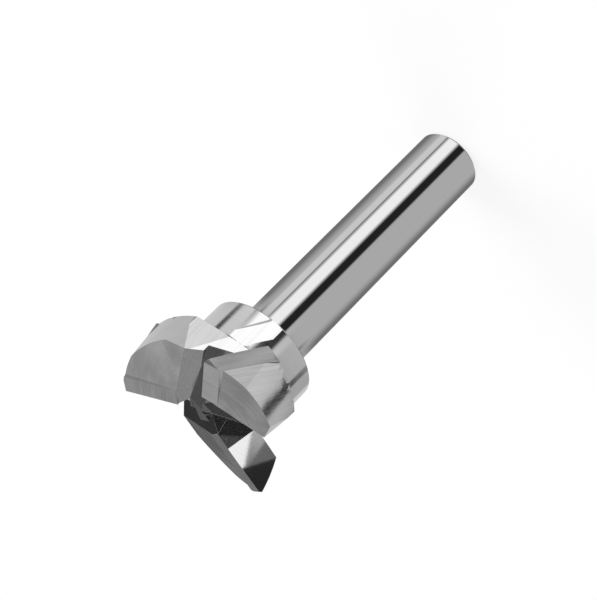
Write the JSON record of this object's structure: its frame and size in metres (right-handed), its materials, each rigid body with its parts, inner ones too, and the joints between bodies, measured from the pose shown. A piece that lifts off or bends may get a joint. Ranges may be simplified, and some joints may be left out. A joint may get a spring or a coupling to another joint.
{
  "type": "router bit",
  "caption": "Three-wing router bit: a plain round shank, a collar and a head with brazed carbide tips that cut on the front and the rim.",
  "frame": {"origin": "centre of the shank's end face", "axes": "+Z along the shank towards the cutting end; the first wing's rake face crosses the XZ plane on the +X side"},
  "size_m": [0.0306, 0.0314, 0.0713],
  "materials": {
    "tool_steel": "ground and polished bright steel",
    "carbide": "ground tungsten carbide, darker and greyer than the steel"
  },
  "bodies": {
    "root": {"steel_body": "tool_steel", "carbide_tip_1": "carbide", "carbide_tip_2": "carbide", "carbide_tip_3": "carbide"}
  },
  "joints": []
}
